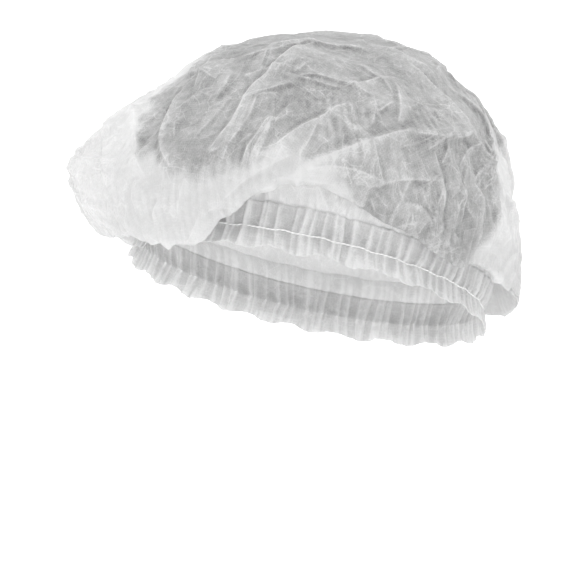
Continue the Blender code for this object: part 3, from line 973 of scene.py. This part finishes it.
@dataclass
class GatheredHem:
    """The pleated hem: gathers above the elastic and a scalloped frill below it."""

    ring: ElasticRing
    pleats: Pleats
    around: int = 1456
    rows: int = 26
    scallops: int = 22
    scallop_depth: float = 2.2 * MM
    wall: float = 0.3 * MM

    def build(self, crown_edge: np.ndarray) -> bpy.types.Object:
        """Build the pleated hem with its ridge layer and its cloth pattern.

        Args:
            crown_edge: The ring of points at which the crown's sheet ends.

        Returns:
            The hem's object.
        """
        azimuth = math.tau * np.arange(self.around) / self.around
        shares = np.linspace(0.0, 1.0, self.rows)[:, None]
        turn = np.broadcast_to(azimuth, (self.rows, self.around))
        wave = 0.5 - 0.5 * np.cos(self.scallops * azimuth + 0.8 * np.sin(3 * azimuth))
        bottom = -self.pleats.frill_depth + self.scallop_depth * wave
        bottom = bottom + 0.9 * MM * self.pleats.read(self.pleats.flutes, azimuth)
        height = bottom + (self.pleats.gather_height - bottom) * shares
        stand = self.pleats.stand_off(turn, height)
        points = (
            self.ring.point(azimuth)
            + self.ring.up() * height[:, :, None]
            + self.ring.out(azimuth) * stand[:, :, None]
        )
        corners = math.tau * np.arange(len(crown_edge)) / len(crown_edge)
        for axis in range(3):
            points[-1, :, axis] = np.interp(azimuth, corners, crown_edge[:, axis], period=math.tau)
        hem = MeshMaker.closed_grid("gathered_hem", points)
        ridge = self.pleats.read(self.pleats.fine, self.pleats.lean(turn, height))
        flute = self.pleats.read(self.pleats.flutes, self.pleats.lean(turn, height))
        below = np.clip(-height / self.pleats.frill_depth, 0.0, 1.0)
        # The pleats' ridges: pale where the cloth doubles over, and on each ridge's trailing side a painted
        # shading that falls off across the pleat.
        doubled = np.maximum(ridge, flute * below)
        start = 0.22 - 0.1 * below
        above = np.clip(height / self.pleats.gather_height, 0.0, 1.0)
        # Painted shade: darker in the pockets between the pleats just above the elastic and in the frill's
        # valleys below it.
        pocket_shade = np.exp(-(((height - 2.2 * MM) / (3.2 * MM)) ** 2)) * (height > 0) + 0.35 * below
        layers = {
            "crease_soft": np.clip((doubled - start) / 0.6, 0.0, 1.0),
            "crease_shade": np.clip(1.0 - doubled / 0.32, 0.0, 1.0) * pocket_shade,
            "facet": 0.5 + 0.5 * below,
            "closeness": 1.0 - 0.25 * above**3,
            "fullness": 0.4 * above**3 + 0.3 * below,
            "band": np.ones_like(height),
        }
        for name, values in layers.items():
            MeshMaker.point_values(hem, name, values.ravel())
        around = azimuth * MEAN_RADIUS
        places = np.stack((np.broadcast_to(around, height.shape), height), axis=-1)
        MeshMaker.unwrap(hem, places.reshape(-1, 2))
        wall = hem.modifiers.new("doubled cloth", "SOLIDIFY")
        wall.thickness = self.wall
        wall.offset = -1.0
        bpy.context.view_layer.objects.active = hem
        bpy.ops.object.modifier_apply(modifier=wall.name)
        return hem


@dataclass
class ElasticThread:
    """The thin covered elastic that draws the gathers in."""

    ring: ElasticRing
    pleats: Pleats
    radius: float = 0.4 * MM
    around: int = 900
    sides: int = 10

    def build(self) -> bpy.types.Object:
        """Build the thread, rising and dipping a little over the pleats.

        Returns:
            The thread's object.
        """
        azimuth = math.tau * np.arange(self.around) / self.around
        level = 0.25 * MM * np.sin(31 * azimuth) + 0.15 * MM * np.sin(57 * azimuth + 1.0)
        stand = self.pleats.stand_off(azimuth, np.zeros_like(azimuth))
        soft = np.convolve(np.tile(stand, 3), np.full(21, 1 / 21), "same")[self.around : 2 * self.around]
        centre = (
            self.ring.point(azimuth)
            + self.ring.up() * level[:, None]
            + self.ring.out(azimuth) * (soft + 0.9 * self.radius)[:, None]
        )
        rings = []
        for side in range(self.sides):
            turn = math.tau * side / self.sides
            around = self.ring.out(azimuth) * math.cos(turn) + self.ring.up() * math.sin(turn)
            rings.append(centre + around * self.radius)
        rings.append(rings[0])
        thread = MeshMaker.closed_grid("elastic_thread", np.stack(rings))
        run = azimuth * MEAN_RADIUS
        over = [np.full_like(run, side * 0.4 * MM) for side in range(self.sides + 1)]
        MeshMaker.unwrap(thread, np.vstack([np.stack((run, across), axis=1) for across in over]))
        weld = thread.modifiers.new("close the thread", "WELD")
        weld.merge_threshold = 1e-6
        bpy.context.view_layer.objects.active = thread
        bpy.ops.object.modifier_apply(modifier=weld.name)
        return thread


@dataclass(frozen=True)
class Number:
    """A number in a node tree. Arithmetic on it adds the nodes that work it out."""

    sheet: "NodeSheet"
    socket: bpy.types.NodeSocket

    def __add__(self, other: object) -> "Number":
        """Add a number."""
        return self.sheet.maths("ADD", self, other)

    def __sub__(self, other: object) -> "Number":
        """Take a number away."""
        return self.sheet.maths("SUBTRACT", self, other)

    def __rsub__(self, other: object) -> "Number":
        """Take this away from a number."""
        return self.sheet.maths("SUBTRACT", other, self)

    def __mul__(self, other: object) -> "Number":
        """Multiply by a number."""
        return self.sheet.maths("MULTIPLY", self, other)


class NodeSheet:
    """A material's node tree, written one node at a time."""

    def __init__(self, name: str) -> None:
        """Start an empty material of this name."""
        self.material = bpy.data.materials.new(name)
        self.material.use_nodes = True
        self.tree = self.material.node_tree
        self.tree.nodes.clear()

    def node(self, kind: str, inputs: dict | None = None, **settings: object) -> bpy.types.Node:
        """Add a node.

        Args:
            kind: The node's type.
            inputs: Values or other nodes' outputs, by the input's name or number.
            **settings: Properties of the node.

        Returns:
            The node.
        """
        made = self.tree.nodes.new(kind)
        for name, value in settings.items():
            setattr(made, name, value)
        for name, value in (inputs or {}).items():
            value = value.socket if isinstance(value, Number) else value
            if isinstance(value, bpy.types.NodeSocket):
                self.tree.links.new(value, made.inputs[name])
            else:
                made.inputs[name].default_value = value
        return made

    def maths(self, operation: str, first: object, second: object, clamp: bool = False) -> Number:
        """Combine two numbers."""
        made = self.node("ShaderNodeMath", {0: first, 1: second}, operation=operation, use_clamp=clamp)
        return Number(self, made.outputs[0])

    def ramp(self, value: object, low: float, high: float, to_low: float, to_high: float) -> Number:
        """Map a number from one range to another with soft ends."""
        made = self.node(
            "ShaderNodeMapRange",
            {"Value": value, "From Min": low, "From Max": high, "To Min": to_low, "To Max": to_high},
            interpolation_type="SMOOTHSTEP",
        )
        return Number(self, made.outputs["Result"])

    def layer(self, name: str) -> Number:
        """Read a number that the mesh stores at each point, or 0 where it stores none."""
        return Number(self, self.node("ShaderNodeAttribute", attribute_name=name).outputs["Fac"])

    def noise(self, place: object, scale: float, detail: float, **more: object) -> Number:
        """Soft noise of about 0 to 1, with more of the texture's inputs by name."""
        inputs = {"Vector": place, "Scale": scale, "Detail": detail} | more
        return Number(self, self.node("ShaderNodeTexNoise", inputs).outputs[0])

    def cell_edge(self, place: object, scale: float) -> Number:
        """Distance from the edges of random cells."""
        inputs = {"Vector": place, "Scale": scale}
        made = self.node("ShaderNodeTexVoronoi", inputs, feature="DISTANCE_TO_EDGE")
        return Number(self, made.outputs["Distance"])

    def bump(self, height: object, distance: float) -> bpy.types.NodeSocket:
        """A relief this deep, in metres."""
        inputs = {"Height": height, "Strength": 0.6, "Distance": distance}
        return self.node("ShaderNodeBump", inputs).outputs[0]

    def grey(self, value: Number) -> bpy.types.NodeSocket:
        """A grey of this tone."""
        return self.node("ShaderNodeCombineColor", {"Red": value, "Green": value, "Blue": value}).outputs[0]


@dataclass(frozen=True)
class NonwovenFinish:
    """Thin spunbonded cloth: random fibres, a grid of bond points, pale crease lines and painted shade.

    cover is how much one flat layer hides. backing is a painted shade: the grey of a dim
    surface behind the cloth, mixed into its colour where it lies close. fold_cover is how much
    more the doubled cloth beside a fold hides. white is the cloth's tone where it lies close;
    its being darker there than free_white is painted shade too. A pair gives the crown's value
    and the gathers'. free_white is the tone where it hangs free, veil is how much of what it
    would show through stays hidden, and sheer_loss is how much less where it is sheer.
    """

    name: str
    cover: tuple = (0.29, 0.36)
    # Painted shade: the grey of a dim surface behind the cloth, for the crown and for the gathers.
    backing_shade: tuple = (0.175, 0.46)
    fold_cover: tuple = (0.34, 0.50)
    white: tuple = (0.74, 0.86)
    veil: float = 0.96
    sheer_loss: float = 0.58
    free_white: float = 0.90
    bond_pitch: float = 1.4 * MM

    def fibres(self, sheet: NodeSheet, uv: bpy.types.NodeSocket, angle: float) -> Number:
        """Loose fibres that run one way, 0 between them and 1 on them."""
        offset = 0.3 * angle
        placed = sheet.node(
            "ShaderNodeMapping",
            {"Vector": uv, "Rotation": (0.0, 0.0, math.radians(angle)), "Location": (offset, offset, 0.0)},
        )
        drawn = {"Vector": placed.outputs[0], "Scale": (340.0, 2400.0, 1.0)}
        stretched = sheet.node("ShaderNodeMapping", drawn).outputs[0]
        grain = sheet.node(
            "ShaderNodeTexNoise",
            {"Vector": stretched, "Scale": 1.0, "Detail": 3.0, "Roughness": 0.55, "Distortion": 0.7},
            noise_dimensions="2D",
        )
        return sheet.ramp(grain.outputs[0], 0.56, 0.72, 0.0, 1.0)

    def fold_line(
        self, sheet: NodeSheet, place: bpy.types.NodeSocket, name: str, width: float
    ) -> tuple[Number, Number]:
        """The lines of one net of creases, and how sharply the sheet bends at them.

        Args:
            sheet: The node tree.
            place: The point's place.
            name: The net's name.
            width: Half width of a crease line, in metres.

        Returns:
            The lines, 0 to 1, and the bend, positive on a ridge.
        """
        off = sheet.maths("ABSOLUTE", sheet.layer(f"{name}_side"), 0.0)
        line = sheet.ramp(off, 0.25 * width, width, 1.0, 0.0)
        line = line * sheet.ramp(sheet.layer(f"{name}_near"), 2.2 * MM, 3.2 * MM, 1.0, 0.0)
        worn = sheet.noise(place, 110.0, 1.0)
        return line * sheet.ramp(worn, 0.36, 0.58, 0.25, 1.0), sheet.layer(f"{name}_fold")

    def build(self) -> bpy.types.Material:
        """Build the cloth's material."""
        sheet = NodeSheet(self.name)
        uv = sheet.node("ShaderNodeUVMap", uv_map="cloth").outputs[0]
        place = sheet.node("ShaderNodeTexCoord").outputs["Object"]
        close, fullness = sheet.layer("closeness"), sheet.layer("fullness")
        band, sheer = sheet.layer("band"), sheet.layer("sheer")

        fibre = self.fibres(sheet, uv, 8.0)
        for angle in (52.0, 97.0, 141.0):
            fibre = sheet.maths("MAXIMUM", fibre, self.fibres(sheet, uv, angle))
        bonds = sheet.node(
            "ShaderNodeTexVoronoi",
            {"Vector": uv, "Scale": 1.0 / self.bond_pitch, "Randomness": 0.12},
            voronoi_dimensions="2D",
        )
        bond = sheet.ramp(bonds.outputs["Distance"], 0.18, 0.34, 1.0, 0.0)

        bent = sheet.node("ShaderNodeTexNoise", {"Vector": place, "Scale": 40.0, "Detail": 2.0})
        shift = {0: bent.outputs["Color"], 1: (0.012, 0.012, 0.012)}
        shift = sheet.node("ShaderNodeVectorMath", shift, operation="MULTIPLY").outputs[0]
        warped = sheet.node("ShaderNodeVectorMath", {0: place, 1: shift}, operation="ADD").outputs[0]
        cells = sheet.cell_edge(warped, 120.0)
        wrinkle = sheet.ramp(cells, 0.0, 0.04, 1.0, 0.0)
        wrinkle = wrinkle * sheet.ramp(sheet.noise(place, 70.0, 2.0), 0.46, 0.6, 0.0, 1.0)
        fleck = sheet.ramp(sheet.cell_edge(warped, 270.0), 0.0, 0.07, 1.0, 0.0)
        fleck = fleck * sheet.ramp(sheet.noise(place, 150.0, 2.0), 0.5, 0.6, 0.0, 1.0)
        mottle = sheet.noise(place, 300.0, 3.0) - 0.5
        cloud = sheet.noise(place, 34.0, 6.0, Roughness=0.66)

        line, fold = self.fold_line(sheet, place, "crease", 0.6 * MM)
        ridge = line * sheet.ramp(fold, 0.04, 0.5, 0.0, 1.0)
        line, fold = self.fold_line(sheet, place, "fine", 0.5 * MM)
        small_ridge = line * sheet.ramp(fold, 0.04, 0.24, 0.0, 1.0)
        # Painted shade: darker along the valleys of the fine creases.
        small_valley_shade = line * sheet.ramp(fold, -0.24, -0.04, 1.0, 0.0)

        cover, backing_shade, fold_cover, white = (
            band * (pair[1] - pair[0]) + pair[0]
            for pair in (self.cover, self.backing_shade, self.fold_cover, self.white)
        )
        cover = cover + sheet.ramp(cloud, 0.3, 0.7, -0.10, 0.10)
        # Each mark raises or lowers cover, and with it how much of the painted backing shade shows.
        for value, weight in (
            (fullness, 0.38),
            (sheet.layer("facet"), 0.15),
            (fibre, 0.20),
            (wrinkle, 0.20),
            (fleck, 0.15),
            (mottle, 0.45),
            (ridge, 0.24),
            (sheet.layer("crease_soft"), fold_cover),
            # Painted shade: darker in the creases' lee and in the pockets between the pleats.
            (sheet.layer("crease_shade"), -0.22),
            (small_ridge, 0.28),
            (small_valley_shade, -0.14),
            (sheet.layer("crimp"), 0.12),
            (bond, -0.08),
        ):
            cover = cover + value * weight
        held = sheet.node("ShaderNodeClamp", {"Value": cover, "Min": 0.08, "Max": 0.98})
        cover = Number(sheet, held.outputs[0])

        free = 1.0 - close
        # Where the cloth lies close, what it doesn't cover shows the backing grey, a painted shade, and is
        # opaque.
        behind = (1.0 - cover) * close
        alpha = cover + behind
        solid = alpha + (1.0 - alpha) * (self.veil - sheer * self.sheer_loss)
        # The tone falls from free_white to white where the cloth lies close: painted shade.
        tone = white + free * (self.free_white - white)
        thin = free * ((1.0 - cover) * 0.24 + fullness * 0.10)
        shown = cover * (tone - thin) + behind * backing_shade
        colour = sheet.grey(sheet.maths("DIVIDE", shown, alpha, clamp=True))

        relief = sheet.ramp(cells, 0.0, 0.25, 1.0, 0.0) * 0.8 + fibre * 0.12 - bond * 0.12
        bump = sheet.bump(relief, 0.7 * MM)
        cloth = sheet.node(
            "ShaderNodeBsdfPrincipled",
            {
                "Base Color": colour,
                "Roughness": 0.82,
                "Normal": bump,
                "Specular IOR Level": 0.25,
                "Sheen Weight": 0.5,
            },
        )
        glow = sheet.node("ShaderNodeBsdfTranslucent", {"Color": colour, "Normal": bump})
        lit = sheet.node("ShaderNodeMixShader", {0: 0.42, 1: cloth.outputs[0], 2: glow.outputs[0]})
        clear = sheet.node("ShaderNodeBsdfTransparent")
        seen = sheet.node("ShaderNodeMixShader", {0: solid, 1: clear.outputs[0], 2: lit.outputs[0]})
        sheet.node("ShaderNodeOutputMaterial", {"Surface": seen.outputs[0]})
        return sheet.material


@dataclass(frozen=True)
class ThreadFinish:
    """White covered elastic: yarn wound round a stretched core."""

    name: str = "covered_elastic"
    turns_per_metre: float = 900.0

    def build(self) -> bpy.types.Material:
        """Build the thread's material."""
        sheet = NodeSheet(self.name)
        uv = sheet.node("ShaderNodeUVMap", uv_map="cloth").outputs[0]
        turned = sheet.node("ShaderNodeMapping", {"Vector": uv, "Rotation": (0.0, 0.0, math.radians(28.0))})
        winding = sheet.node(
            "ShaderNodeTexWave",
            {"Vector": turned.outputs[0], "Scale": self.turns_per_metre / math.tau, "Distortion": 0.8},
        ).outputs[0]
        grey = sheet.ramp(winding, 0.0, 1.0, 0.70, 0.86)
        colour = sheet.grey(grey)
        bump = sheet.bump(winding, 0.3 * MM)
        yarn = sheet.node(
            "ShaderNodeBsdfPrincipled",
            {"Base Color": colour, "Roughness": 0.6, "Normal": bump, "Specular IOR Level": 0.3},
        )
        sheet.node("ShaderNodeOutputMaterial", {"Surface": yarn.outputs[0]})
        return sheet.material


@dataclass(frozen=True)
class Studio:
    """A white studio and a camera at the photograph's angle."""

    azimuth: float = math.radians(30.0)
    elevation: float = math.radians(6.0)
    distance: float = 1.6
    frame_width: float = 570 / 2.03 * MM
    aim_right: float = -13.8 * MM
    aim_up: float = -4.4 * MM
    floor_height: float = -0.25
    floor_reach: float = 60.0
    wall: float = 0.60
    brightness: float = 1.25

    def axes(self) -> tuple[Vector, Vector, Vector]:
        """The view's directions: right, up, and back towards the camera."""
        level = math.cos(self.elevation)
        ahead, beside = math.cos(self.azimuth) * level, math.sin(self.azimuth) * level
        back = Vector((beside, -ahead, math.sin(self.elevation)))
        right = Vector((math.cos(self.azimuth), math.sin(self.azimuth), 0.0))
        return right, back.cross(right), back

    def place_camera(self) -> bpy.types.Object:
        """Set the camera at the photograph's viewing angle."""
        right, up, back = self.axes()
        lens = bpy.data.cameras.new("photo_view")
        camera = bpy.data.objects.new("photo_view", lens)
        bpy.context.scene.collection.objects.link(camera)
        camera.location = right * self.aim_right + up * self.aim_up + back * self.distance
        camera.rotation_euler = (-back).to_track_quat("-Z", "Y").to_euler()
        lens.sensor_width = 36.0
        lens.lens = 36.0 * self.distance / self.frame_width
        lens.clip_end = 200.0
        bpy.context.scene.camera = camera
        return camera

    def place_lamp(self, name: str, azimuth: float, elevation: float, size: float, power: float) -> None:
        """Hang a soft lamp that faces the cap.

        Args:
            name: The lamp's name.
            azimuth: Degrees round from the camera, to the right.
            elevation: Degrees above the cap.
            size: Width of the lamp, in metres.
            power: Its power, in watts.
        """
        turn = self.azimuth + math.radians(azimuth)
        rise = math.radians(elevation)
        away = Vector((math.sin(turn) * math.cos(rise), -math.cos(turn) * math.cos(rise), math.sin(rise)))
        light = bpy.data.lights.new(name, "AREA")
        light.shape = "DISK"
        light.size = size
        light.energy = power
        lamp = bpy.data.objects.new(name, light)
        bpy.context.scene.collection.objects.link(lamp)
        lamp.location = Vector((0.0, 0.0, 0.04)) + away * 1.5
        lamp.rotation_euler = (-away).to_track_quat("-Z", "Y").to_euler()

    def lay_floor(self) -> bpy.types.Object:
        """Lay the plain pale floor."""
        bpy.ops.mesh.primitive_plane_add(size=self.floor_reach, location=(0.0, 0.0, self.floor_height))
        floor = bpy.context.object
        floor.name = "studio_floor"
        sheet = NodeSheet("pale_floor")
        plain = {"Base Color": (0.9, 0.9, 0.9, 1.0), "Roughness": 0.9}
        paint = sheet.node("ShaderNodeBsdfPrincipled", plain)
        glow = sheet.node("ShaderNodeEmission", {"Color": (1.0, 1.0, 1.0, 1.0), "Strength": 0.55})
        both = sheet.node("ShaderNodeAddShader", {0: paint.outputs[0], 1: glow.outputs[0]})
        sheet.node("ShaderNodeOutputMaterial", {"Surface": both.outputs[0]})
        floor.data.materials.append(sheet.material)
        return floor

    def surround(self) -> None:
        """Put a pale wall all round the floor, under a bright ceiling."""
        world = bpy.data.worlds.new("white_studio")
        bpy.context.scene.world = world
        world.use_nodes = True
        nodes, links = world.node_tree.nodes, world.node_tree.links
        background = nodes["Background"]
        where = nodes.new("ShaderNodeTexCoord")
        split = nodes.new("ShaderNodeSeparateXYZ")
        tones = nodes.new("ShaderNodeValToRGB")
        tones.color_ramp.interpolation = "EASE"
        for place, tone in ((0.03, 1.0), (0.2, self.wall), (0.55, self.wall), (0.9, 1.0)):
            stop = tones.color_ramp.elements.new(place)
            stop.color = (tone, tone, tone, 1.0)
        for end in (tones.color_ramp.elements[0], tones.color_ramp.elements[-1]):
            end.color = (1.0, 1.0, 1.0, 1.0)
        links.new(where.outputs["Generated"], split.inputs[0])
        links.new(split.outputs["Z"], tones.inputs["Fac"])
        links.new(tones.outputs["Color"], background.inputs["Color"])
        background.inputs["Strength"].default_value = self.brightness

    def build(self) -> None:
        """Set up the camera, the lamps, the floor and the white surroundings."""
        self.place_camera()
        self.place_lamp("key_lamp", -34.0, 40.0, 0.5, 4.6)
        self.place_lamp("low_lamp", -12.0, -5.0, 0.4, 0.5)
        self.place_lamp("back_lamp", 165.0, 64.0, 1.2, 5.0)
        self.lay_floor()
        self.surround()
        bpy.context.scene.view_settings.view_transform = "Standard"


def main() -> None:
    """Load the frame, build and dress the cap, and report each piece."""
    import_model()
    bpy.ops.object.select_all(action="DESELECT")
    Studio().build()

    ring = ElasticRing()
    pleats = Pleats()
    crown_cloth = NonwovenFinish("crown_nonwoven").build()
    hem_cloth = NonwovenFinish("hem_nonwoven").build()
    crown_sheet = CrownSheet(ring, pleats)
    pieces = {
        "crown": (crown_sheet.build(), crown_cloth, "nonwoven_cloth"),
        "gathered_band": (
            GatheredHem(ring, pleats).build(crown_sheet.hem_edge), hem_cloth, "gathered_cloth",
        ),
        "elastic": (ElasticThread(ring, pleats).build(), ThreadFinish().build(), "elastic_thread"),
    }
    for node, (piece, finish, slot) in pieces.items():
        piece.data.materials.append(finish)
        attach(piece, "root")
        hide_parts(node)
        LOG.info("%s stands for %s with %d points", piece.name, node, len(piece.data.vertices))


if __name__ == "__main__":
    logging.basicConfig(level=logging.INFO)
    main()
